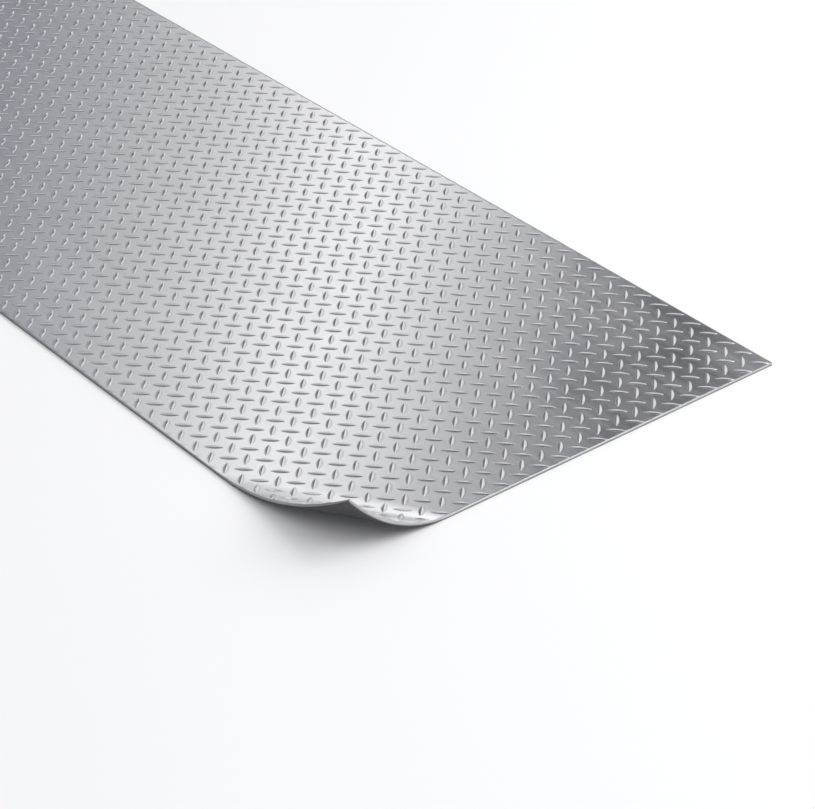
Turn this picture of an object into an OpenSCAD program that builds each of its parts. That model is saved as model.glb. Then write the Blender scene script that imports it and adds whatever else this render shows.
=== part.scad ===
// Checker steel plate: one flat sheet of rolled floor plate, lying on a level floor,
// with one corner bent up in a smooth curl.
// Millimetres, +Z up. X runs along the sheet, Y across it.
// The origin is at the middle of the underside, on the floor.
// The small raised lugs of the top face are not drawn here: this is the plate under them.

/* [Sheet] */
// Length of the sheet along X, mm
sheet_length = 2500; // [1000:10:6000]
// Width of the sheet along Y, mm
sheet_width = 1000; // [500:10:2000]
// Thickness of the plate, the lugs left out, mm
plate_thickness = 6; // [2:0.5:12]

/* [Curled corner] */
// Where the curl starts on the long edge, measured from the corner, mm
curl_along_length = 355; // [100:5:600]
// Where the curl starts on the short edge, measured from the corner, mm
curl_along_width = 240; // [80:5:450]
// How far the tip of the corner is turned up from level, degrees
curl_turn = 67; // [5:1:85]
// Flat strips that the curl is made of
curl_strips = 24; // [6:1:48]

/* [Steel] */
// Red of the bare steel, 0 to 1
steel_red = 0.72; // [0:0.01:1]
// Green of the bare steel, 0 to 1
steel_green = 0.73; // [0:0.01:1]
// Blue of the bare steel, 0 to 1
steel_blue = 0.75; // [0:0.01:1]

/* [Hidden] */

half_length = sheet_length / 2;
half_width = sheet_width / 2;
half_thickness = plate_thickness / 2;

// The bend line crosses the corner; its length is the slant of that right triangle.
bend_line = sqrt(curl_along_length * curl_along_length + curl_along_width * curl_along_width);
// Unit step across the bend line, out towards the corner
out_x = curl_along_width / bend_line;
out_y = -curl_along_length / bend_line;
// Distance from the bend line to the corner, measured on the flat sheet
curl_reach = curl_along_length * curl_along_width / bend_line;
// Radius of the curl at the middle of the thickness
curl_radius = curl_reach / (curl_turn * PI / 180);
// The curl starts a little inside the flat sheet, so the two run into each other.
lap = 4;

// Turn of the sheet at a distance s past the bend line, degrees
function turn_at(s) = s <= 0 ? 0 : curl_turn * s / curl_reach;

// How far the curl has pulled a point in, along the out direction
function pull_at(s) = s <= 0 ? 0 : curl_radius * sin(turn_at(s)) - s;

// Height of the middle of the thickness at a distance s past the bend line
function lift_at(s) = half_thickness + (s <= 0 ? 0 : curl_radius * (1 - cos(turn_at(s))));

// A point of the bent sheet: x, y on the flat sheet, s past the bend line, side 1 top or -1 under
function bent(x, y, s, side) = [
    x + out_x * (pull_at(s) - side * half_thickness * sin(turn_at(s))),
    y + out_y * (pull_at(s) - side * half_thickness * sin(turn_at(s))),
    lift_at(s) + side * half_thickness * cos(turn_at(s))
];

// Where the straight line at distance s meets the long edge and the short edge
function long_edge_x(s) = half_length - curl_along_length + s / out_x;
function short_edge_y(s) = -half_width + curl_along_width + s / out_y;

// Distance of cross line k past the bend line
function line_at(k) = k == 0 ? -lap : curl_reach * (k - 1) / curl_strips;

line_count = curl_strips + 1;

// Four points on each cross line: long edge top, short edge top, long edge under, short edge under
function line_points(s) = [
    bent(long_edge_x(s), -half_width, s, 1),
    bent(half_length, short_edge_y(s), s, 1),
    bent(long_edge_x(s), -half_width, s, -1),
    bent(half_length, short_edge_y(s), s, -1)
];

curl_points = concat(
    [for (k = [0 : line_count - 1]) for (p = line_points(line_at(k))) p],
    [bent(half_length, -half_width, curl_reach, 1)],
    [bent(half_length, -half_width, curl_reach, -1)]
);

// Faces of the strip between cross line k and the next
function strip_faces(k) = [
    [4 * k, 4 * k + 1, 4 * k + 5, 4 * k + 4],
    [4 * k + 2, 4 * k + 6, 4 * k + 7, 4 * k + 3],
    [4 * k, 4 * k + 4, 4 * k + 6],
    [4 * k, 4 * k + 6, 4 * k + 2],
    [4 * k + 5, 4 * k + 1, 4 * k + 3],
    [4 * k + 5, 4 * k + 3, 4 * k + 7]
];

last = 4 * (line_count - 1);
tip_top = 4 * line_count;
tip_under = tip_top + 1;

curl_faces = concat(
    [[1, 0, 2, 3]],
    [for (k = [0 : line_count - 2]) for (f = strip_faces(k)) f],
    [
        [last, last + 1, tip_top],
        [last + 2, tip_under, last + 3],
        [last, tip_top, tip_under],
        [last, tip_under, last + 2],
        [tip_top, last + 1, last + 3],
        [tip_top, last + 3, tip_under]
    ]
);

// The level part of the sheet: a rectangle with the curled corner left off
module level_sheet() {
    linear_extrude(height = plate_thickness)
        polygon([
            [-half_length, -half_width],
            [half_length - curl_along_length, -half_width],
            [half_length, -half_width + curl_along_width],
            [half_length, half_width],
            [-half_length, half_width]
        ]);
}

// The corner that is bent up, one strip after another to the tip
module curled_corner() {
    polyhedron(points = curl_points, faces = curl_faces, convexity = 4);
}

// The whole sheet in one piece
module checker_plate() {
    color([steel_red, steel_green, steel_blue])
        union() {
            level_sheet();
            curled_corner();
        }
}

checker_plate();
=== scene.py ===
import math

import bpy
import numpy as np
from bpy.props import (
    FloatProperty,
    FloatVectorProperty,
    IntProperty,
    PointerProperty,
)
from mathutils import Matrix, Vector


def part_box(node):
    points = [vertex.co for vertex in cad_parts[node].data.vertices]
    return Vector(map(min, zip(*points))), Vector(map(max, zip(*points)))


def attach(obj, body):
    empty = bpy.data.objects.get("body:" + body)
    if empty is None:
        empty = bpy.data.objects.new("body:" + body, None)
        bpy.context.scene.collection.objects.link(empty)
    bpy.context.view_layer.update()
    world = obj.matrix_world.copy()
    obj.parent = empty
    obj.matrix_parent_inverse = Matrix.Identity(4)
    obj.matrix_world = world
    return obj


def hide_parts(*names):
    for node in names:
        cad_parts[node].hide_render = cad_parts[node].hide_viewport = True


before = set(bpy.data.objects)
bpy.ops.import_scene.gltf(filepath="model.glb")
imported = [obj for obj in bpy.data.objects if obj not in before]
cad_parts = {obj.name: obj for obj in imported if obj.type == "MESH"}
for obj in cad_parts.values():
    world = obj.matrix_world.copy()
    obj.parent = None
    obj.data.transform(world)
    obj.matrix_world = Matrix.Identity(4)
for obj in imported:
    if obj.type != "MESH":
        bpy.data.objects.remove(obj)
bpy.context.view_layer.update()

bl_info = {
    "name": "Checker Steel Plate",
    "version": (1, 0, 0),
    "blender": (4, 5, 0),
    "location": "3D View > Sidebar > Floor Plate",
    "description": "Rolled steel floor plate with raised lugs and one curled corner",
    "category": "Add Mesh",
}

PLATE = "checker_plate"
BODY = "root"
PLATE_LOW, PLATE_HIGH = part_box(PLATE)
BAKE_MAP = "OFBake"
EDGE_MAP = "EdgeRun"
SHEET_MAP = "SheetPlace"


# ---------------------------------------------------------------- settings


class FloorPlateSheetSizes(bpy.types.PropertyGroup):
    """Sizes of the plate under its lugs."""

    length: FloatProperty(
        name="Length",
        description="Length of the sheet along X",
        default=PLATE_HIGH[0] - PLATE_LOW[0],
        subtype="DISTANCE",
    )
    width: FloatProperty(
        name="Width",
        description="Width of the sheet along Y",
        default=PLATE_HIGH[1] - PLATE_LOW[1],
        subtype="DISTANCE",
    )
    thickness: FloatProperty(
        name="Thickness",
        description="Thickness of the plate, the lugs left out",
        default=0.006,
        precision=4,
        subtype="DISTANCE",
    )
    curl_along_length: FloatProperty(
        name="Curl along length",
        description="Where the curl starts on the long edge, measured from the corner",
        default=0.355,
        subtype="DISTANCE",
    )
    curl_along_width: FloatProperty(
        name="Curl along width",
        description="Where the curl starts on the short edge, measured from the corner",
        default=0.240,
        subtype="DISTANCE",
    )
    curl_turn: FloatProperty(
        name="Curl turn",
        description="How far the tip of the corner is turned up from level",
        default=math.radians(67.0),
        subtype="ANGLE",
    )
    curl_strips: IntProperty(
        name="Curl strips",
        description="Strips of faces that make the curl smooth",
        default=60,
        min=8,
    )


class FloorPlateLugSizes(bpy.types.PropertyGroup):
    """Sizes and spacing of the raised lugs."""

    length: FloatProperty(
        name="Length",
        description="Length of one lug from point to point",
        default=0.0345,
        precision=4,
        subtype="DISTANCE",
    )
    width: FloatProperty(
        name="Width",
        description="Width of one lug across its middle, at the foot of its flanks",
        default=0.0088,
        precision=4,
        subtype="DISTANCE",
    )
    height: FloatProperty(
        name="Height",
        description="Height of a lug above the face of the sheet",
        default=0.0015,
        precision=4,
        subtype="DISTANCE",
    )
    foot: FloatProperty(
        name="Foot",
        description="Width of the soft hollow where a lug runs out into the sheet",
        default=0.0007,
        precision=4,
        subtype="DISTANCE",
    )
    pitch: FloatProperty(
        name="Pitch",
        description="Distance between lugs of the same direction, along and across",
        default=0.0448,
        precision=4,
        subtype="DISTANCE",
    )
    end_margin: FloatProperty(
        name="End margin",
        description="From the short edge by the curl to the first row of lugs",
        default=0.014,
        precision=4,
        subtype="DISTANCE",
    )
    columns: IntProperty(
        name="Columns",
        description="Lugs of one direction across the sheet",
        default=22,
        min=1,
    )
    # The halo also sets how far the painted shade around each lug reaches
    halo: FloatProperty(
        name="Halo",
        description="How far out from a lug the sheet is drawn up towards it",
        default=0.0046,
        precision=4,
        subtype="DISTANCE",
    )
    foot_height: FloatProperty(
        name="Foot height",
        description="How far the hollow climbs before the flank of the lug starts",
        default=0.0001,
        precision=5,
        subtype="DISTANCE",
    )
    zones: IntProperty(
        name="Zones",
        description="Lengths of sheet whose lugs are made as one mesh each",
        default=5,
        min=1,
    )


class FloorPlateFinish(bpy.types.PropertyGroup):
    """Colours and gloss of the bare steel."""

    face: FloatVectorProperty(
        name="Rolled face",
        description="Bare steel of the lugged face",
        default=(0.74, 0.74, 0.755),
        subtype="COLOR",
        min=0.0,
        max=1.0,
    )
    # Painted shade: the underside is given a dark colour for the shade it lies in
    underside: FloatVectorProperty(
        name="Underside",
        description="Rolled steel of the plain face underneath",
        default=(0.10, 0.10, 0.108),
        subtype="COLOR",
        min=0.0,
        max=1.0,
    )
    # Painted shade: the long edges get a darker colour than the short edges, for the side that
    # faces away from the light
    long_edge: FloatVectorProperty(
        name="Long edges",
        description="Slit edges along the length, dulled since the mill",
        default=(0.36, 0.36, 0.375),
        subtype="COLOR",
        min=0.0,
        max=1.0,
    )
    # Painted light: the short edges get a lighter colour than the long edges, for the side that
    # faces the light
    short_edge: FloatVectorProperty(
        name="Short edges",
        description="Freshly sheared edges across the ends",
        default=(0.64, 0.64, 0.655),
        subtype="COLOR",
        min=0.0,
        max=1.0,
    )
    roughness: FloatProperty(
        name="Roughness",
        description="Middle roughness of the lugged face",
        default=0.175,
        min=0.05,
        max=1.0,
        subtype="FACTOR",
    )


class FloorPlateStudio(bpy.types.PropertyGroup):
    """Floor, light and camera."""

    floor: FloatVectorProperty(
        name="Floor",
        description="Colour of the plain floor",
        default=(0.93, 0.93, 0.93),
        subtype="COLOR",
        min=0.0,
        max=1.0,
    )
    band_heading: FloatProperty(
        name="Band heading",
        description="Heading of the tall light band that the top face mirrors",
        default=math.radians(51.3),
        subtype="ANGLE",
    )
    band_light: FloatProperty(
        name="Band light",
        description="Brightness of the light band, as a share of its drawn strength",
        default=1.0,
    )
    band_lean: FloatProperty(
        name="Band lean",
        description="How far the band leans to the left for each step up",
        default=0.36,
    )
    dim_light: FloatProperty(
        name="Dim light",
        description="Brightness of the parts of the studio that carry no panel",
        default=0.13,
    )
    horizon_light: FloatProperty(
        name="Horizon light",
        description="Brightness low down, where the floor ends",
        default=0.75,
    )
    ceiling_light: FloatProperty(
        name="Ceiling light",
        description="Brightness of the ceiling panel ahead",
        default=0.95,
    )
    wall_light: FloatProperty(
        name="Wall light",
        description="Brightness of the plain walls behind the camera",
        default=0.5,
    )
    fill_light: FloatProperty(
        name="Fill light",
        description="Brightness of the high panel behind the camera",
        default=1.38,
    )
    top_light: FloatProperty(
        name="Top light",
        description="Brightness straight above",
        default=0.45,
    )
    key_power: FloatProperty(
        name="Key light",
        description="Power of the large soft key light in watts",
        default=260.0,
    )
    lens: FloatProperty(
        name="Lens",
        description="Focal length of the camera in millimetres",
        default=119.05,
    )


# ---------------------------------------------------------------- the curl


class Curl:
    """The bend of one corner: a part of a cylinder along a line that crosses it."""

    def __init__(self, sizes):
        along, across = sizes.curl_along_length, sizes.curl_along_width
        slant = math.hypot(along, across)
        self.half = np.array([sizes.length / 2, sizes.width / 2])
        self.out = np.array([across, -along]) / slant
        self.line = np.array([along, across]) / slant
        self.reach = along * across / slant
        self.radius = self.reach / sizes.curl_turn
        self.middle = sizes.thickness / 2

    def past(self, flat):
        """Distance of points on the flat sheet past the bend line."""
        corner = self.half * [1, -1]
        return np.maximum((flat - corner) @ self.out + self.reach, 0.0)

    def place(self, flat, height):
        """Where points of the flat sheet go, at a height over its middle."""
        s = self.past(flat)
        turn = s / self.radius
        shift = self.radius * np.sin(turn) - s - height * np.sin(turn)
        level = flat + shift[:, None] * self.out
        lift = self.middle + self.radius * (1 - np.cos(turn)) + height * np.cos(turn)
        return np.column_stack([level, lift])

    def lean(self, flat, normals):
        """Turns directions with the sheet they belong to."""
        turn = self.past(flat) / self.radius
        outward = normals[:, :2] @ self.out
        beside = normals[:, :2] @ self.line
        up = normals[:, 2]
        level = outward * np.cos(turn) - up * np.sin(turn)
        rise = outward * np.sin(turn) + up * np.cos(turn)
        flat_part = level[:, None] * self.out + beside[:, None] * self.line
        return np.column_stack([flat_part, rise])


# ---------------------------------------------------------------- mesh tools


def unit(vectors):
    """Vectors scaled to length 1."""
    return vectors / np.maximum(np.linalg.norm(vectors, axis=-1, keepdims=True), 1e-12)


def mesh_from(name, places, faces, corner_normals, materials, wears=None):
    """A mesh object from arrays; faces is a list of index lists."""
    mesh = bpy.data.meshes.new(name)
    counts = np.array([len(f) for f in faces], dtype=np.int32)
    corners = np.concatenate([np.asarray(f, dtype=np.int32) for f in faces])
    mesh.vertices.add(len(places))
    mesh.vertices.foreach_set("co", np.asarray(places, dtype=np.float32).ravel())
    mesh.loops.add(len(corners))
    mesh.loops.foreach_set("vertex_index", corners)
    mesh.polygons.add(len(counts))
    mesh.polygons.foreach_set("loop_start", np.r_[0, np.cumsum(counts)[:-1]].astype(np.int32))
    for material in materials:
        mesh.materials.append(material)
    if wears is not None:
        mesh.polygons.foreach_set("material_index", np.asarray(wears, dtype=np.int32))
    mesh.polygons.foreach_set("use_smooth", np.ones(len(counts), dtype=bool))
    mesh.update(calc_edges=True)
    mesh.validate()
    mesh.normals_split_custom_set(unit(corner_normals).tolist())
    piece = bpy.data.objects.new(name, mesh)
    bpy.context.scene.collection.objects.link(piece)
    return piece


def add_map(mesh, name, corner_places):
    """A UV map with one place for each face corner."""
    layer = mesh.uv_layers.new(name=name, do_init=False)
    layer.uv.foreach_set("vector", np.asarray(corner_places, dtype=np.float32).ravel())


def add_number(mesh, name, values):
    """A number on each vertex, for materials to read."""
    layer = mesh.attributes.new(name=name, type="FLOAT", domain="POINT")
    layer.data.foreach_set("value", np.asarray(values, dtype=np.float32))


# ---------------------------------------------------------------- node tools


def node(tree, kind, settings=None, values=None, **links):
    """Adds a shader node, sets its settings and values and links its inputs."""
    made = tree.nodes.new(kind)
    for key, value in (settings or {}).items():
        setattr(made, key, value)
    for key, value in (values or {}).items():
        made.inputs[key].default_value = value
    for key, source in links.items():
        tree.links.new(source, made.inputs[key])
    return made


def calc(tree, operation, first, second=0.5, third=0.5):
    """A math node whose inputs are sockets or plain numbers."""
    made = tree.nodes.new("ShaderNodeMath")
    made.operation = operation
    for slot, value in enumerate((first, second, third)):
        if isinstance(value, bpy.types.NodeSocket):
            tree.links.new(value, made.inputs[slot])
        else:
            made.inputs[slot].default_value = value
    return made.outputs[0]


def remap(tree, source, from_low, from_high, to_low, to_high, smooth=False):
    """Maps a range of a socket to another range, held at both ends."""
    made = tree.nodes.new("ShaderNodeMapRange")
    made.interpolation_type = "SMOOTHSTEP" if smooth else "LINEAR"
    made.clamp = True
    tree.links.new(source, made.inputs["Value"])
    for key, value in (
        ("From Min", from_low),
        ("From Max", from_high),
        ("To Min", to_low),
        ("To Max", to_high),
    ):
        made.inputs[key].default_value = value
    return made.outputs["Result"]


def mix_colours(tree, share, first, second):
    """Mixes two colours, each a socket or a plain colour."""
    made = tree.nodes.new("ShaderNodeMix")
    made.data_type = "RGBA"
    for key, value in ((0, share), (6, first), (7, second)):
        if isinstance(value, bpy.types.NodeSocket):
            tree.links.new(value, made.inputs[key])
        elif key == 0:
            made.inputs[key].default_value = value
        else:
            made.inputs[key].default_value = (*value, 1.0)
    return made.outputs[2]


def noise(tree, place, stretch, scale, detail, rough):
    """Noise over a place socket, stretched by a vector."""
    laid = node(tree, "ShaderNodeMapping", values={"Scale": stretch}, Vector=place)
    made = node(
        tree,
        "ShaderNodeTexNoise",
        values={"Scale": scale, "Detail": detail, "Roughness": rough},
        Vector=laid.outputs["Vector"],
    )
    return made.outputs["Fac"]


def steel_shader(name):
    """A new metal material: its tree, its shader and its object place socket."""
    material = bpy.data.materials.new(name)
    material.use_nodes = True
    tree = material.node_tree
    shader = tree.nodes["Principled BSDF"]
    shader.inputs["Metallic"].default_value = 1.0
    place = tree.nodes.new("ShaderNodeTexCoord").outputs["Object"]
    return material, tree, shader, place


def shade(colour, factor):
    """A colour made lighter or darker."""
    return tuple(min(1.0, max(0.0, c * factor)) for c in colour)


# ---------------------------------------------------------------- materials


def near_lugs(tree, sheet, lugs):
    """How near a place on the flat sheet is to a lug: 1 at its foot, 0 well away from it."""
    flat = node(tree, "ShaderNodeUVMap", {"uv_map": SHEET_MAP}).outputs["UV"]
    parts = node(tree, "ShaderNodeSeparateXYZ", Vector=flat)
    first_x = sheet.length / 2 - lugs.end_margin
    first_y = -(lugs.columns - 0.5) * lugs.pitch / 2
    nearest = None
    for shift_x, shift_y, sign in ((0.0, 0.5, 1.0), (0.5, 0.0, -1.0)):
        x = calc(tree, "ADD", parts.outputs["X"], -first_x - shift_x * lugs.pitch)
        y = calc(tree, "ADD", parts.outputs["Y"], -first_y - shift_y * lugs.pitch)
        x = calc(tree, "WRAP", x, lugs.pitch / 2, -lugs.pitch / 2)
        y = calc(tree, "WRAP", y, lugs.pitch / 2, -lugs.pitch / 2)
        y = calc(tree, "MULTIPLY", y, sign)
        along = calc(tree, "MULTIPLY", calc(tree, "ADD", x, y), math.sqrt(0.5))
        across = calc(tree, "MULTIPLY", calc(tree, "SUBTRACT", y, x), math.sqrt(0.5))
        along = calc(tree, "MULTIPLY", along, 1 / (lugs.length / 2 + lugs.halo * 0.7))
        across = calc(tree, "MULTIPLY", across, 1 / (lugs.width / 2 + lugs.halo))
        along = calc(tree, "MULTIPLY", along, along)
        across = calc(tree, "MULTIPLY", across, across)
        away = calc(tree, "SQRT", calc(tree, "ADD", along, across))
        nearest = away if nearest is None else calc(tree, "MINIMUM", nearest, away)
    return remap(tree, nearest, 0.25, 1.0, 1.0, 0.0, smooth=True)


def rolled_face_material(finish, sheet, lugs, around_lugs):
    """Bright rolled face: faint lines along the length, soft mottling, fine grain, crowns lightened
    partly as wear and partly as painted highlight, lug feet and back rims darkened as painted
    shade.
    """
    name = "rolled_steel_face" if around_lugs else "rolled_steel_lugs"
    material, tree, shader, place = steel_shader(name)
    lines = noise(tree, place, (0.9, 60.0, 60.0), 1.0, 5.0, 0.6)
    mottle = noise(tree, place, (1.0, 1.0, 1.0), 7.0, 5.0, 0.6)
    grain = noise(tree, place, (1.0, 1.0, 1.0), 950.0, 2.0, 0.5)
    crown = node(
        tree, "ShaderNodeAttribute", {"attribute_name": "crown"}
    ).outputs["Fac"]
    hollow = node(
        tree, "ShaderNodeAttribute", {"attribute_name": "hollow"}
    ).outputs["Fac"]
    spread = calc(
        tree, "ADD", calc(tree, "MULTIPLY", lines, 0.5), calc(tree, "MULTIPLY", mottle, 0.5)
    )
    tone = remap(tree, spread, 0.35, 0.65, 0.0, 1.0)
    body = mix_colours(tree, tone, shade(finish.face, 0.955), shade(finish.face, 1.03))
    # Painted shade: hollow darkens the feet of the lugs and the rims of the back and far sides
    painted_shade = shade(finish.face, 0.15 if around_lugs else 0.42)
    painted_shaded = mix_colours(tree, calc(tree, "MULTIPLY", hollow, 0.60), body, painted_shade)
    # Painted highlight, on lug crowns partly wear: crown lightens the lug crowns and the rims of
    # the near and front sides
    bright = mix_colours(
        tree, calc(tree, "MULTIPLY", crown, 0.5), painted_shaded, shade(finish.face, 1.12)
    )
    tree.links.new(bright, shader.inputs["Base Color"])
    gloss = remap(tree, spread, 0.3, 0.7, finish.roughness - 0.035, finish.roughness + 0.045)
    gloss = calc(tree, "ADD", gloss, calc(tree, "MULTIPLY", hollow, 0.12))
    gloss = calc(tree, "SUBTRACT", gloss, calc(tree, "MULTIPLY", crown, 0.03))
    gloss = calc(tree, "ADD", gloss, remap(tree, grain, 0.3, 0.7, -0.02, 0.02))
    tree.links.new(gloss, shader.inputs["Roughness"])
    relief = node(
        tree,
        "ShaderNodeBump",
        values={"Strength": 0.25, "Distance": 0.00004},
        Height=grain,
    )
    if around_lugs:
        near = near_lugs(tree, sheet, lugs)
        # Painted shade: the sheet's colour is darkened near the foot of each lug; the bump below is
        # real relief
        dimmed = mix_colours(
            tree, calc(tree, "MULTIPLY", near, 0.42), bright, shade(finish.face, 0.5)
        )
        tree.links.new(dimmed, shader.inputs["Base Color"])
        swell = node(
            tree, "ShaderNodeBump", values={"Strength": 1.0, "Distance": 0.00003}, Height=near
        )
        tree.links.new(relief.outputs["Normal"], swell.inputs["Normal"])
        tree.links.new(swell.outputs["Normal"], shader.inputs["Normal"])
    else:
        tree.links.new(relief.outputs["Normal"], shader.inputs["Normal"])
    return material


def underside_material(finish):
    """Plain rolled underside: given a dark colour as painted shade, streaked along the length, with
    dull patches.
    """
    material, tree, shader, place = steel_shader("rolled_steel_underside")
    lines = noise(tree, place, (1.2, 90.0, 90.0), 1.0, 6.0, 0.65)
    patches = noise(tree, place, (1.0, 1.6, 1.6), 5.0, 5.0, 0.6)
    grain = noise(tree, place, (1.0, 1.0, 1.0), 700.0, 2.0, 0.5)
    tone = calc(
        tree, "ADD", calc(tree, "MULTIPLY", lines, 0.45), calc(tree, "MULTIPLY", patches, 0.55)
    )
    colour = mix_colours(
        tree,
        remap(tree, tone, 0.35, 0.66, 0.0, 1.0),
        shade(finish.underside, 0.80),
        shade(finish.underside, 1.12),
    )
    tree.links.new(colour, shader.inputs["Base Color"])
    tree.links.new(remap(tree, tone, 0.3, 0.7, 0.50, 0.34), shader.inputs["Roughness"])
    relief = node(
        tree, "ShaderNodeBump", values={"Strength": 0.3, "Distance": 0.00006}, Height=grain
    )
    tree.links.new(relief.outputs["Normal"], shader.inputs["Normal"])
    return material


def edge_material(name, colour, rough_cut, rough_torn):
    """Sheared edge: a smooth cut band above, a torn matt band below, drag marks across both, and a
    painted contact shadow along the bottom.
    """
    material, tree, shader, _ = steel_shader(name)
    run = node(tree, "ShaderNodeUVMap", {"uv_map": EDGE_MAP}).outputs["UV"]
    marks = noise(tree, run, (700.0, 60.0, 1.0), 1.0, 5.0, 0.65)
    tears = noise(tree, run, (260.0, 330.0, 1.0), 1.0, 4.0, 0.6)
    stains = noise(tree, run, (9.0, 30.0, 1.0), 1.0, 4.0, 0.6)
    drags = noise(tree, run, (22.0, 1500.0, 1.0), 1.0, 3.0, 0.6)
    depth = node(tree, "ShaderNodeSeparateXYZ", Vector=run).outputs["Y"]
    wander = calc(tree, "ADD", depth, remap(tree, stains, 0.3, 0.7, -0.0006, 0.0006))
    torn = remap(tree, wander, 0.0024, 0.0032, 0.0, 1.0, smooth=True)
    cut_tone = mix_colours(
        tree, remap(tree, marks, 0.35, 0.65, 0.0, 1.0), shade(colour, 0.84), shade(colour, 1.08)
    )
    torn_tone = mix_colours(
        tree, remap(tree, tears, 0.35, 0.65, 0.0, 1.0), shade(colour, 0.60), shade(colour, 0.92)
    )
    both = mix_colours(tree, torn, cut_tone, torn_tone)
    both = mix_colours(
        tree, remap(tree, drags, 0.42, 0.62, 0.0, 0.5, smooth=True), both, shade(colour, 0.45)
    )
    # Painted shadow: the bottom of the edge is darkened where it meets the floor
    under = remap(tree, wander, 0.0036, 0.0044, 0.0, 1.0, smooth=True)
    both = mix_colours(tree, under, both, shade(colour, 0.22))
    stained = mix_colours(
        tree, remap(tree, stains, 0.45, 0.75, 0.0, 0.3), both, shade(colour, 0.62)
    )
    tree.links.new(stained, shader.inputs["Base Color"])
    gloss = calc(
        tree,
        "ADD",
        remap(tree, torn, 0.0, 1.0, rough_cut, rough_torn),
        remap(tree, marks, 0.3, 0.7, -0.05, 0.05),
    )
    tree.links.new(gloss, shader.inputs["Roughness"])
    height = calc(
        tree,
        "ADD",
        calc(tree, "MULTIPLY", marks, 0.35),
        calc(tree, "MULTIPLY", tears, torn),
    )
    relief = node(
        tree, "ShaderNodeBump", values={"Strength": 0.4, "Distance": 0.00005}, Height=height
    )
    tree.links.new(relief.outputs["Normal"], shader.inputs["Normal"])
    return material


# ---------------------------------------------------------------- the sheet

# Section of a sheared edge from the top face down, in millimetres:
# how far in from the edge, and the height over the middle of the thickness.
EDGE_SECTION = (
    (4.00, 3.00),
    (1.50, 2.995),
    (0.45, 2.96),
    (0.14, 2.87),
    (0.03, 2.72),
    (0.00, 2.45),
    (0.00, 0.30),
    (0.10, -0.02),
    (0.20, -0.35),
    (0.30, -2.40),
    (0.20, -2.86),
    (0.28, -3.00),
    (0.90, -3.00),
)
# Length of the section over the top face and the rim, to where the cut starts, in metres
TOP_RUN = 0.0043
# Which finish each band of the section wears: 0 face, 1 underside, 2 edge
SECTION_WEAR = (0, 0, 0, 2, 2, 2, 2, 2, 2, 2, 2, 1)
# At the first three rows of the section: painted shade on the back and far sides, painted highlight
# on the others
RIM_PAINTED_SHADE = (0.0, 1.0, 1.6)
RIM_PAINTED_HIGHLIGHT = (0.0, 0.6, 1.0)
# Where faces and edges lie on the map that finishes are baked to. The edges run in lanes.
FACE_SPAN, FACE_MARGIN, TOP_LOW, UNDER_LOW = 0.99, 0.005, 0.53, 0.06
LANES, LANE_SPAN, LANE_MARGIN = 4, 0.9, 0.02
LANE_LOW, LANE_STEP, LANE_DEPTH = 0.002, 0.012, 1.3
# The strips of the curl stop this far before its tip, in metres, clear of the rims that meet there
SHORT_OF_TIP = 1.5 * EDGE_SECTION[0][0] / 1000.0


def outline_at(inset, curl, strips):
    """The sheet's outline moved in by inset: its points and the side each next step runs on."""
    length, width = curl.half - inset
    tip = np.array([length, -width])
    stations = (curl.reach - SHORT_OF_TIP) * np.linspace(0.0, 1.0, strips + 1)
    corner = curl.half * [1, -1]
    points, sides = [(-length, -width)], ["near"]
    for s in stations:
        x = corner[0] + (s - curl.reach - (-width - corner[1]) * curl.out[1]) / curl.out[0]
        points.append((x, -width))
        sides.append("near")
    points.append(tuple(tip))
    sides.append("front")
    for s in stations[::-1]:
        y = corner[1] + (s - curl.reach - (length - corner[0]) * curl.out[0]) / curl.out[1]
        points.append((length, y))
        sides.append("front")
    points += [(length, width), (-length, width)]
    sides += ["back", "far"]
    return np.array(points), sides


OUTWARD = {"near": (0, -1), "front": (1, 0), "back": (0, 1), "far": (-1, 0)}
LONG_SIDES = ("near", "back")


def section_normals():
    """At each point of the edge section: the share of its normal that points out, and up."""
    section = np.array(EDGE_SECTION)
    steps = np.diff(section, axis=0)
    faces = unit(np.column_stack([-steps[:, 1], -steps[:, 0]]))
    faces = np.column_stack([np.abs(faces[:, 0]), faces[:, 1]])
    out = np.zeros_like(section)
    out[1:-1] = unit(faces[1:] + faces[:-1])
    out[0], out[-1] = (0, 1), (0, -1)
    return out


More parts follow.
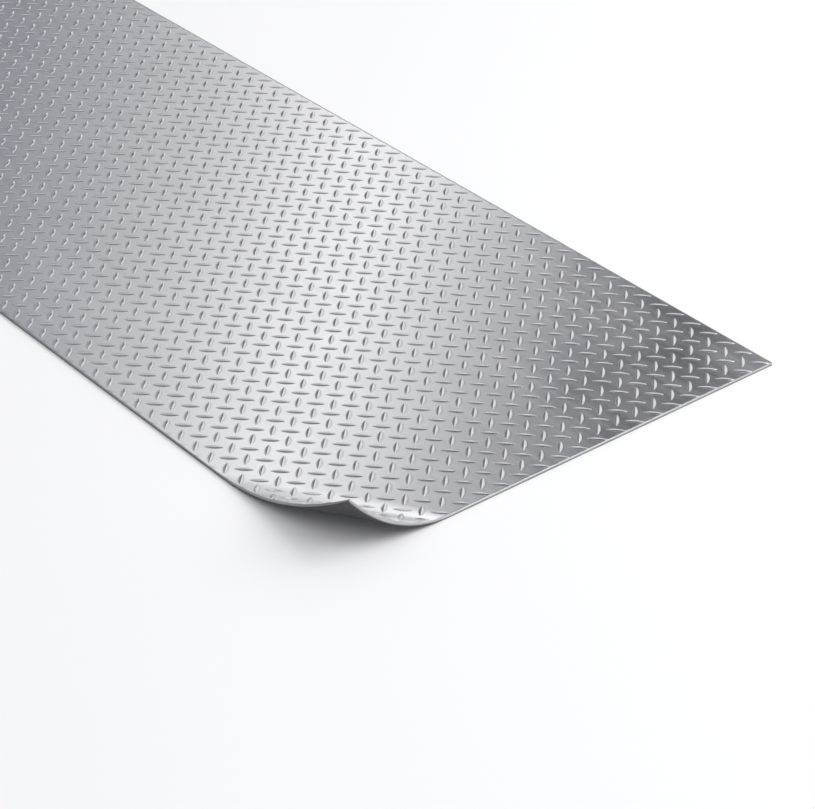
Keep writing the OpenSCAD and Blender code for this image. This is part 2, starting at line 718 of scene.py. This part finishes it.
def build_sheet(sizes, lugs, finish):
    """The whole plate as one closed skin: top face, sheared edges, underside."""
    curl = Curl(sizes)
    strips = sizes.curl_strips
    section = np.array(EDGE_SECTION) / 1000.0
    leans = section_normals()
    flats, heights = [], []
    for inset, height in section:
        points, sides = outline_at(inset, curl, strips)
        flats.append(points)
        heights.append(np.full(len(points), height))
    ring = len(sides)
    flat, height = np.concatenate(flats), np.concatenate(heights)
    places = curl.place(flat, height)
    step = np.linalg.norm(np.roll(flats[5], -1, axis=0) - flats[5], axis=1)
    run_at = np.r_[0.0, np.cumsum(step)]
    depth_at = np.r_[0.0, np.cumsum(np.linalg.norm(np.diff(section, axis=0), axis=1))]
    depth_at -= TOP_RUN
    # Painted shade on the rims of the back and far sides, painted highlight on the rims of the near
    # and front sides
    dull = np.array([side in ("back", "far") for side in sides], dtype=float)
    hollow = np.concatenate([dull * share for share in RIM_PAINTED_SHADE])
    hollow = np.r_[hollow, np.zeros(len(flat) - len(hollow))]
    crown = np.concatenate([(1 - dull) * share for share in RIM_PAINTED_HIGHLIGHT])
    crown = np.r_[crown, np.zeros(len(flat) - len(crown))]

    faces, wears, normals, runs, bakes = [], [], [], [], []
    total = run_at[-1]

    def face_place(points, under):
        u = (points[:, 0] + curl.half[0]) / (2 * curl.half[0])
        v = (points[:, 1] + curl.half[1]) / (2 * curl.half[0])
        low = UNDER_LOW if under else TOP_LOW
        return np.column_stack([u * FACE_SPAN + FACE_MARGIN, v * FACE_SPAN + low])

    for band in range(len(section) - 1):
        for k in range(ring):
            after = (k + 1) % ring
            faces.append([
                band * ring + k,
                (band + 1) * ring + k,
                (band + 1) * ring + after,
                band * ring + after,
            ])
            wear = SECTION_WEAR[band]
            if wear == 2:
                wear = 2 if sides[k] in LONG_SIDES else 3
            wears.append(wear)
            outward = OUTWARD[sides[k]]
            for row in (band, band + 1, band + 1, band):
                share, up = leans[row]
                normals.append((outward[0] * share, outward[1] * share, up))
            ends = (run_at[k], run_at[k], run_at[k + 1], run_at[k + 1])
            rows = (band, band + 1, band + 1, band)
            runs += [(end, depth_at[row]) for end, row in zip(ends, rows)]
            if wear in (0, 1):
                bakes += [tuple(p) for p in face_place(flat[faces[-1]], wear == 1)]
            else:
                for end, row in zip(ends, rows):
                    lane = min(LANES - 1, int(LANES * run_at[k] / total))
                    across = (end / total * LANES - lane) * LANE_SPAN + LANE_MARGIN
                    down = LANE_LOW + LANE_STEP * lane + depth_at[row] * LANE_DEPTH
                    bakes.append((across, down))

    def add_face(corners, wear, up):
        faces.append(corners)
        wears.append(wear)
        normals.extend([(0.0, 0.0, up)] * len(corners))
        runs.extend([(0.0, 0.0)] * len(corners))
        bakes.extend(tuple(p) for p in face_place(flat[corners], wear == 1))

    tip = strips + 2
    for base, wear, up in ((0, 0, 1.0), ((len(section) - 1) * ring, 1, -1.0)):
        level = [base, base + 1, base + 2 * tip - 1, base + 2 * tip, base + 2 * tip + 1]
        quads = [
            [base + k, base + k + 1, base + 2 * tip - k - 1, base + 2 * tip - k]
            for k in range(1, tip - 1)
        ]
        last = [base + tip - 1, base + tip, base + tip + 1]
        for corners in [level, *quads, last]:
            add_face(corners if up > 0 else corners[::-1], wear, up)

    corner_index = np.concatenate([np.asarray(f) for f in faces])
    leaning = curl.lean(flat[corner_index], np.array(normals, dtype=float))
    piece = mesh_from(
        "plate_sheet",
        places,
        faces,
        leaning,
        [
            rolled_face_material(finish, sizes, lugs, True),
            underside_material(finish),
            edge_material("slit_long_edge", finish.long_edge, 0.36, 0.55),
            edge_material("sheared_short_edge", finish.short_edge, 0.28, 0.42),
        ],
        wears,
    )
    add_map(piece.data, EDGE_MAP, runs)
    add_map(piece.data, SHEET_MAP, flat[corner_index])
    add_number(piece.data, "hollow", hollow)
    add_number(piece.data, "crown", crown)
    add_map(piece.data, BAKE_MAP, bakes)
    piece.data.uv_layers.active = piece.data.uv_layers[EDGE_MAP]
    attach(piece, BODY)
    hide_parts(PLATE)


# ---------------------------------------------------------------- the lugs

# How the outline and the crest of a lug fall off from its middle to its points
PLAN_POWER = 0.85
CREST_POWER = 0.8
# Fall of a flank from crest to foot: its straight share, its rounded share and that one's power
FLANK_SLOPE, FLANK_ROUNDING, ROUNDING_POWER = 0.68, 0.32, 2.5
# Where the cross sections of a lug stand along it, and the points across one: 0 is its middle
LUG_STATIONS = np.array(
    [-0.97, -0.9, -0.78, -0.6, -0.4, -0.2, 0.0, 0.2, 0.4, 0.6, 0.78, 0.9, 0.97]
)
LUG_ROWS = np.array([-1.0, -0.84, -0.6, -0.3, 0.0, 0.3, 0.6, 0.84, 1.0])
# How far out over the foot its middle row of points lies
FOOT_STEP = 0.35
# From this share of the half length on, over the next, the foot spreads on past the points:
# its rim by this share of its width, and its middle row by this share of what the rim does
SPREAD_FROM, SPREAD_OVER, SPREAD, INNER_SPREAD = 0.9, 0.1, 0.9, 0.4
# Painted shade on the rim and the middle row of the foot, the crown above which a flank carries
# none, and how fast it grows from the points
RIM_DARK, FOOT_DARK, SHADE_FREE_CROWN, DARK_TAPER = 0.25, 0.7, 0.5, 1.4
LUG_LEAN = math.radians(45.0)
LUG_MAP_SLACK, LUG_MAP_MARGIN = 1.01, 0.004
# Step for measuring the slope of a lug, and how far its rim sinks into the sheet, in metres
SLOPE_STEP = 0.00004
RIM_SINK = 0.00002


def lug_height(along, across, sizes):
    """Height of one lug over the sheet: a rounded crest on a wide, low foot."""
    t = np.clip(np.abs(along) / (sizes.length / 2), 0.0, 1.0)
    plan = sizes.width / 2 * (1 - t**2) ** PLAN_POWER + 1e-6
    crest = (sizes.height - sizes.foot_height) * (1 - t**2) ** CREST_POWER
    r = np.abs(across) / plan
    body = np.clip(1 - FLANK_SLOPE * r - FLANK_ROUNDING * r**ROUNDING_POWER, 0.0, 1.0)
    past_side = np.maximum(np.abs(across) - plan, 0.0)
    past_end = np.maximum(np.abs(along) - sizes.length / 2, 0.0)
    away = np.clip(np.hypot(past_side, past_end) / sizes.foot, 0.0, 1.0)
    return crest * body + sizes.foot_height * (1 - away) ** 2


def lug_pattern(sizes):
    """One lug: places along and across, their height, corner normals, crown, hollow, faces."""
    half, foot = sizes.length / 2, sizes.foot
    # ring is 0 on the outer rim, 1 on the middle row of the foot and 2 on the lug itself
    along, across, ring = [-half - foot], [0.0], [0]
    for t in LUG_STATIONS:
        plan = sizes.width / 2 * (1 - t**2) ** PLAN_POWER
        near, outer = plan + FOOT_STEP * foot, plan + foot
        side = np.r_[-outer, -near, LUG_ROWS * plan, near, outer]
        out = foot * SPREAD * np.clip((abs(t) - SPREAD_FROM) / SPREAD_OVER, 0.0, 1.0) * np.sign(t)
        spread = np.r_[1.0, INNER_SPREAD, np.zeros(len(LUG_ROWS)), INNER_SPREAD, 1.0]
        along += list(t * half + out * spread)
        across += list(side)
        ring += [0, 1] + [2] * len(LUG_ROWS) + [1, 0]
    along.append(half + foot)
    across.append(0.0)
    ring.append(0)
    along, across, ring = np.array(along), np.array(across), np.array(ring)
    height = lug_height(along, across, sizes)
    ahead = lug_height(along + SLOPE_STEP, across, sizes)
    behind = lug_height(along - SLOPE_STEP, across, sizes)
    slope_along = (ahead - behind) / (2 * SLOPE_STEP)
    rim = ring == 0
    flanks = []
    for side in (-1.0, 1.0):
        inward = np.where(across == 0, side * 2 * SLOPE_STEP, across - np.sign(across) * SLOPE_STEP)
        right = lug_height(along, inward + SLOPE_STEP, sizes)
        left = lug_height(along, inward - SLOPE_STEP, sizes)
        slope_across = (right - left) / (2 * SLOPE_STEP)
        leans = unit(np.column_stack([-slope_along, -slope_across, np.ones_like(height)]))
        leans[rim] = (0.0, 0.0, 1.0)
        flanks.append(leans)
    crown = np.clip(height / sizes.height, 0.0, 1.0)
    # Painted shade: hollow darkens the foot and the lower flanks of each lug, fading towards its
    # points
    hollow = np.where(ring == 1, FOOT_DARK, 1 - np.clip(crown / SHADE_FREE_CROWN, 0, 1))
    hollow = np.where(rim, RIM_DARK, hollow)
    hollow *= np.clip(DARK_TAPER * (1 - (along / half) ** 2), 0.0, 1.0)
    height = np.where(rim, -RIM_SINK, height)

    faces = []
    count = len(LUG_ROWS) + 4
    last = len(height) - 1
    for m in range(count - 1):
        faces.append([0, 1 + m, 2 + m])
        end = 1 + (len(LUG_STATIONS) - 1) * count
        faces.append([last, end + m + 1, end + m])
    for k in range(len(LUG_STATIONS) - 1):
        for m in range(count - 1):
            a = 1 + k * count + m
            faces.append([a, a + 1, a + 1 + count, a + count][::-1])
    normals = np.concatenate([flanks[int(across[f].mean() > 0)][f] for f in faces])
    return along, across, height, normals, crown, hollow, faces


def lug_centres(sheet, sizes):
    """Middle and direction of every lug: rows in turn lean one way and the other."""
    step = sizes.pitch / 2
    side = (sheet.width - (sizes.columns - 0.5) * sizes.pitch) / 2
    rows = int((sheet.length - 2 * sizes.end_margin) / step + 1e-6)
    centres, turns = [], []
    for row in range(rows + 1):
        x = sheet.length / 2 - sizes.end_margin - row * step
        shift = 0.5 if row % 2 == 0 else 0.0
        for column in range(sizes.columns):
            centres.append((x, -sheet.width / 2 + side + (column + shift) * sizes.pitch))
            turns.append(LUG_LEAN if row % 2 == 0 else -LUG_LEAN)
    return np.array(centres), np.array(turns)


def build_lugs(sheet, sizes, finish):
    """All lugs, laid over the flat sheet and bent with its corner, in a few long meshes."""
    curl = Curl(sheet)
    along, across, height, normals, crown, hollow, faces = lug_pattern(sizes)
    centres, turns = lug_centres(sheet, sizes)
    material = rolled_face_material(finish, sheet, sizes, False)
    zone = np.clip(
        ((sheet.length / 2 - centres[:, 0]) / sheet.length * sizes.zones).astype(int),
        0,
        sizes.zones - 1,
    )
    for number in range(sizes.zones):
        here = zone == number
        middle, turn = centres[here], turns[here]
        cos, sin = np.cos(turn)[:, None], np.sin(turn)[:, None]
        x = middle[:, :1] + along * cos - across * sin
        y = middle[:, 1:] + along * sin + across * cos
        flat = np.column_stack([x.ravel(), y.ravel()])
        lift = np.tile(height, len(middle)) + curl.middle
        nx = normals[:, 0] * cos - normals[:, 1] * sin
        ny = normals[:, 0] * sin + normals[:, 1] * cos
        nz = np.tile(normals[:, 2], len(middle))
        level = np.column_stack([nx.ravel(), ny.ravel(), nz])
        places = curl.place(flat, lift)
        many = []
        for k in range(len(middle)):
            shift = k * len(height)
            many += [[shift + c for c in f] for f in faces]
        corners = np.concatenate([np.asarray(f) for f in many])
        piece = mesh_from(
            f"lugs_{number + 1}", places, many, curl.lean(flat[corners], level), [material]
        )
        add_number(piece.data, "crown", np.tile(crown, len(middle)))
        add_number(piece.data, "hollow", np.tile(hollow, len(middle)))
        low, high = flat.min(0), flat.max(0)
        span = (high - low).max() * LUG_MAP_SLACK
        add_map(piece.data, BAKE_MAP, (flat[corners] - low) / span + LUG_MAP_MARGIN)
        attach(piece, BODY)


# ---------------------------------------------------------------- the stage


# How far the floor reaches, and how far its top lies under the plate, in metres
FLOOR_REACH, FLOOR_DROP = 60.0, 0.0002
KEY_PLACE, KEY_AIM, KEY_SIZE = (3.6, 3.9, 4.8), (0.5, 0.0, 0.0), 6.0


def build_floor(studio):
    """A wide plain floor, its top just clear of the plate's underside."""
    mesh = bpy.data.meshes.new("studio_floor")
    reach, low = FLOOR_REACH, -FLOOR_DROP
    mesh.from_pydata(
        [(-reach, -reach, low), (reach, -reach, low), (reach, reach, low), (-reach, reach, low)],
        [],
        [(0, 1, 2, 3)],
    )
    floor = bpy.data.objects.new("studio_floor", mesh)
    bpy.context.scene.collection.objects.link(floor)
    material = bpy.data.materials.new("pale_floor")
    material.use_nodes = True
    tree = material.node_tree
    shader = tree.nodes["Principled BSDF"]
    shader.inputs["Roughness"].default_value = 0.9
    shader.inputs["Specular IOR Level"].default_value = 0.0
    place = tree.nodes.new("ShaderNodeTexCoord").outputs["Object"]
    cloud = noise(tree, place, (1.0, 1.0, 1.0), 0.7, 2.0, 0.5)
    colour = mix_colours(
        tree, remap(tree, cloud, 0.3, 0.7, 0.0, 1.0), shade(studio.floor, 0.995), studio.floor
    )
    tree.links.new(colour, shader.inputs["Base Color"])
    mesh.materials.append(material)


# Strength of the tall light band by turn from its heading, in degrees to the right.
# The first two are its ends, which the ramp has from the start; the rest follow in order.
BAND_PROFILE = (
    (-40, 0.55),
    (40, 0.95),
    (-31, 0.50),
    (-27, 0.44),
    (-24, 0.28),
    (-21, 0.17),
    (-18, 0.19),
    (-15, 0.26),
    (-11, 0.30),
    (-9, 0.46),
    (-7, 0.59),
    (-5, 0.80),
    (-3.5, 0.98),
    (-2, 1.44),
    (-1, 1.64),
    (0, 1.20),
    (1, 0.82),
    (2.5, 0.62),
    (4, 0.43),
    (5.5, 0.12),
    (7, 0.03),
    (10, 0.03),
    (12, 0.42),
    (14, 0.95),
)
BAND_TOP = 1.64
# How far the drawn band reaches to each side, in degrees
BAND_REACH = 40
# Height in degrees at which the band stands at its heading, and how far from it the lean holds
BAND_MIDDLE, BAND_LEAN_REACH = 30, 14
# Colour of the dimmest and of the brightest light
DIM_TINT, BRIGHT_TINT = (0.92, 0.955, 1.22), (1.0, 1.0, 1.0)
CAMERA_PLACE = (4.09286, -2.67035, 2.60741)
CAMERA_WAY = (-0.65375, 0.53086, -0.53925)


def build_surroundings(studio):
    """Studio light by direction: pale horizon, dim walls and ceiling, light bands and panels."""
    world = bpy.data.worlds.new("studio_light")
    bpy.context.scene.world = world
    world.use_nodes = True
    tree = world.node_tree
    tree.nodes.clear()
    deg = math.radians
    way = tree.nodes.new("ShaderNodeTexCoord").outputs["Generated"]
    parts = node(tree, "ShaderNodeSeparateXYZ", Vector=way)
    east, north = parts.outputs["X"], parts.outputs["Y"]
    sin, cos = math.sin(studio.band_heading), math.cos(studio.band_heading)
    ahead = calc(
        tree, "SUBTRACT", calc(tree, "MULTIPLY", north, cos), calc(tree, "MULTIPLY", east, sin)
    )
    right = calc(
        tree, "ADD", calc(tree, "MULTIPLY", east, cos), calc(tree, "MULTIPLY", north, sin)
    )
    turn = calc(tree, "ARCTAN2", right, ahead)
    rise = calc(tree, "ARCSINE", parts.outputs["Z"])

    def above(low, high):
        return remap(tree, rise, deg(low), deg(high), 0.0, 1.0, smooth=True)

    def below(low, high):
        return remap(tree, rise, deg(low), deg(high), 1.0, 0.0, smooth=True)

    def times(*parts_of):
        total = parts_of[0]
        for part in parts_of[1:]:
            total = calc(tree, "MULTIPLY", total, part)
        return total

    leant = calc(tree, "SUBTRACT", rise, deg(BAND_MIDDLE))
    leant = calc(tree, "MAXIMUM", leant, deg(-BAND_LEAN_REACH))
    leant = calc(tree, "MINIMUM", leant, deg(BAND_LEAN_REACH))
    leant = calc(tree, "ADD", turn, calc(tree, "MULTIPLY", leant, studio.band_lean))
    span = remap(tree, leant, deg(-BAND_REACH), deg(BAND_REACH), 0.0, 1.0)
    ramp = tree.nodes.new("ShaderNodeValToRGB")
    stops = ramp.color_ramp.elements
    for number, (at, strength) in enumerate(BAND_PROFILE):
        place = (at + BAND_REACH) / (2 * BAND_REACH)
        if number < 2:
            stop = stops[number]
            stop.position = place
        else:
            stop = stops.new(place)
        level = strength / BAND_TOP
        stop.color = (level, level, level, 1.0)
    tree.links.new(span, ramp.inputs["Fac"])
    band = times(ramp.outputs["Color"], BAND_TOP * studio.band_light)
    low_side = times(remap(tree, turn, deg(2), deg(7), 0.0, 0.95, smooth=True), below(24, 29.7))
    band = calc(tree, "MAXIMUM", band, low_side)

    around = calc(tree, "ABSOLUTE", turn)
    ahead_only = remap(tree, around, deg(88), deg(110), 1.0, 0.0, smooth=True)
    behind = remap(tree, around, deg(88), deg(110), 0.0, 1.0, smooth=True)
    panel = times(below(57, 65), remap(tree, turn, deg(-12), deg(6), 0.62, 1.0, smooth=True))
    beyond = times(above(57, 65), remap(tree, turn, deg(-12), deg(6), 2.0, 1.0, smooth=True))
    aside = calc(tree, "ABSOLUTE", calc(tree, "ADD", right, 0.1))
    wall = times(
        remap(tree, rise, deg(9), deg(40), 0.8, 1.3),
        remap(tree, aside, 0.0, 0.22, 1.7, 0.6, smooth=True),
        studio.wall_light,
    )
    lights = [
        times(below(5, 9), studio.horizon_light),
        times(above(5, 9), below(40, 48), behind, wall),
        times(above(5, 9), below(41, 48), ahead_only, band),
        times(above(41, 48), panel, ahead_only, studio.ceiling_light),
        times(above(41, 48), below(80, 88), beyond, ahead_only, studio.dim_light),
        times(behind, above(40, 48), below(80, 88), studio.fill_light),
        times(above(80, 88), studio.top_light),
    ]
    total = lights[0]
    for light in lights[1:]:
        total = calc(tree, "ADD", total, light)
    paler = calc(tree, "SQRT", remap(tree, total, 0.05, 0.9, 0.0, 1.0))
    tint = mix_colours(tree, paler, DIM_TINT, BRIGHT_TINT)
    sky = node(tree, "ShaderNodeBackground", Color=tint, Strength=total)
    out = tree.nodes.new("ShaderNodeOutputWorld")
    tree.links.new(sky.outputs["Background"], out.inputs["Surface"])


def add_soft_light(name, place, aim, size, power):
    """A square soft light that looks at a point."""
    lamp = bpy.data.lights.new(name, "AREA")
    lamp.shape = "SQUARE"
    lamp.size = size
    lamp.energy = power
    holder = bpy.data.objects.new(name, lamp)
    bpy.context.scene.collection.objects.link(holder)
    holder.location = place
    way = Vector(aim) - Vector(place)
    holder.rotation_euler = way.to_track_quat("-Z", "Y").to_euler()


def add_camera(studio):
    """The camera, looking down along the sheet from beyond its curled corner."""
    lens = bpy.data.cameras.new("plate_camera")
    lens.sensor_width = 36.0
    lens.lens = studio.lens
    lens.clip_start, lens.clip_end = 0.05, 300.0
    camera = bpy.data.objects.new("plate_camera", lens)
    bpy.context.scene.collection.objects.link(camera)
    camera.location = CAMERA_PLACE
    camera.rotation_euler = Vector(CAMERA_WAY).to_track_quat("-Z", "Y").to_euler()
    bpy.context.scene.camera = camera


# ---------------------------------------------------------------- operators


class FLOORPLATE_OT_sheet(bpy.types.Operator):
    """Make the plate itself: both faces, the sheared edges and the curled corner"""

    bl_idname = "floorplate.make_sheet"
    bl_label = "Rolled sheet"

    def execute(self, context):
        scene = context.scene
        build_sheet(scene.floorplate_sheet, scene.floorplate_lugs, scene.floorplate_finish)
        return {"FINISHED"}


class FLOORPLATE_OT_lugs(bpy.types.Operator):
    """Make the raised lugs of the top face"""

    bl_idname = "floorplate.make_lugs"
    bl_label = "Raised lugs"

    def execute(self, context):
        scene = context.scene
        build_lugs(scene.floorplate_sheet, scene.floorplate_lugs, scene.floorplate_finish)
        return {"FINISHED"}


class FLOORPLATE_OT_stage(bpy.types.Operator):
    """Make the pale floor, the soft studio light and the camera"""

    bl_idname = "floorplate.make_stage"
    bl_label = "Stage"

    def execute(self, context):
        studio = context.scene.floorplate_studio
        add_camera(studio)
        build_floor(studio)
        build_surroundings(studio)
        add_soft_light("key_softbox", KEY_PLACE, KEY_AIM, KEY_SIZE, studio.key_power)
        context.scene.view_settings.view_transform = "Standard"
        return {"FINISHED"}


class FLOORPLATE_PT_panel(bpy.types.Panel):
    """The plate's pieces and settings"""

    bl_label = "Floor Plate"
    bl_idname = "FLOORPLATE_PT_panel"
    bl_space_type = "VIEW_3D"
    bl_region_type = "UI"
    bl_category = "Floor Plate"

    def draw(self, context):
        scene = context.scene
        groups = (
            (FLOORPLATE_OT_sheet, scene.floorplate_sheet),
            (FLOORPLATE_OT_lugs, scene.floorplate_lugs),
            (None, scene.floorplate_finish),
            (FLOORPLATE_OT_stage, scene.floorplate_studio),
        )
        for maker, settings in groups:
            box = self.layout.box()
            for name in settings.__annotations__:
                box.prop(settings, name)
            if maker:
                box.operator(maker.bl_idname)


CLASSES = (
    FloorPlateSheetSizes,
    FloorPlateLugSizes,
    FloorPlateFinish,
    FloorPlateStudio,
    FLOORPLATE_OT_sheet,
    FLOORPLATE_OT_lugs,
    FLOORPLATE_OT_stage,
    FLOORPLATE_PT_panel,
)
SETTINGS = {
    "floorplate_sheet": FloorPlateSheetSizes,
    "floorplate_lugs": FloorPlateLugSizes,
    "floorplate_finish": FloorPlateFinish,
    "floorplate_studio": FloorPlateStudio,
}


def register():
    for kind in CLASSES:
        bpy.utils.register_class(kind)
    for name, kind in SETTINGS.items():
        setattr(bpy.types.Scene, name, PointerProperty(type=kind))


def unregister():
    for name in SETTINGS:
        delattr(bpy.types.Scene, name)
    for kind in reversed(CLASSES):
        bpy.utils.unregister_class(kind)


def main():
    """Registers the add-on and makes every piece."""
    register()
    bpy.ops.floorplate.make_stage()
    bpy.ops.floorplate.make_sheet()
    bpy.ops.floorplate.make_lugs()


if __name__ == "__main__":
    main()
